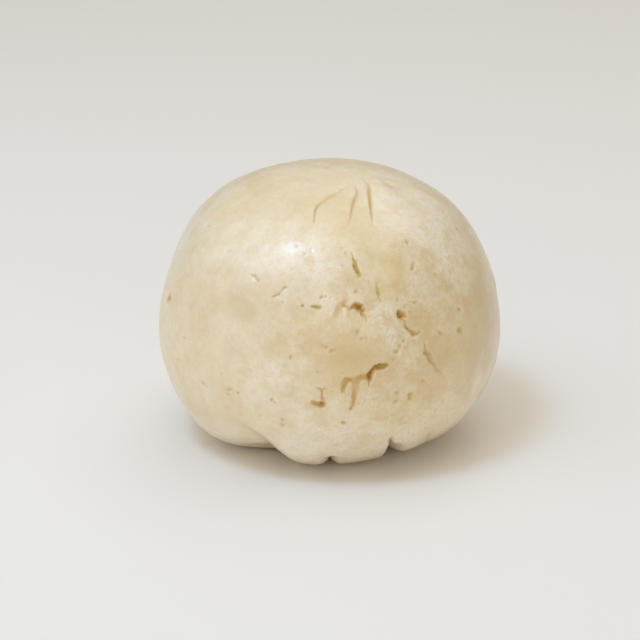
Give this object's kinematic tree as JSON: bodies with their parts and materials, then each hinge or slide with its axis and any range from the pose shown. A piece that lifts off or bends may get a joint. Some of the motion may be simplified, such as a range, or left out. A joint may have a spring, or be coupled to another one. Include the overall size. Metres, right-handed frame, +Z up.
{
  "type": "ball of banku",
  "caption": "Hand-rolled ball of cooked fermented maize and cassava dough, resting on its flattened foot with folds gathered underneath and small tears in its skin.",
  "frame": {"origin": "centre of the ball's bounding box at the level of the flat foot it rests on", "axes": "+Z up, -Y towards the torn side that faces the viewer, +X to the viewer's right"},
  "size_m": [0.1048, 0.1056, 0.0834],
  "materials": {
    "dough": "moist cream maize dough with a soft satin sheen, faint ochre staining and amber inside its tears"
  },
  "bodies": {
    "root": {"banku": "dough"}
  },
  "joints": []
}
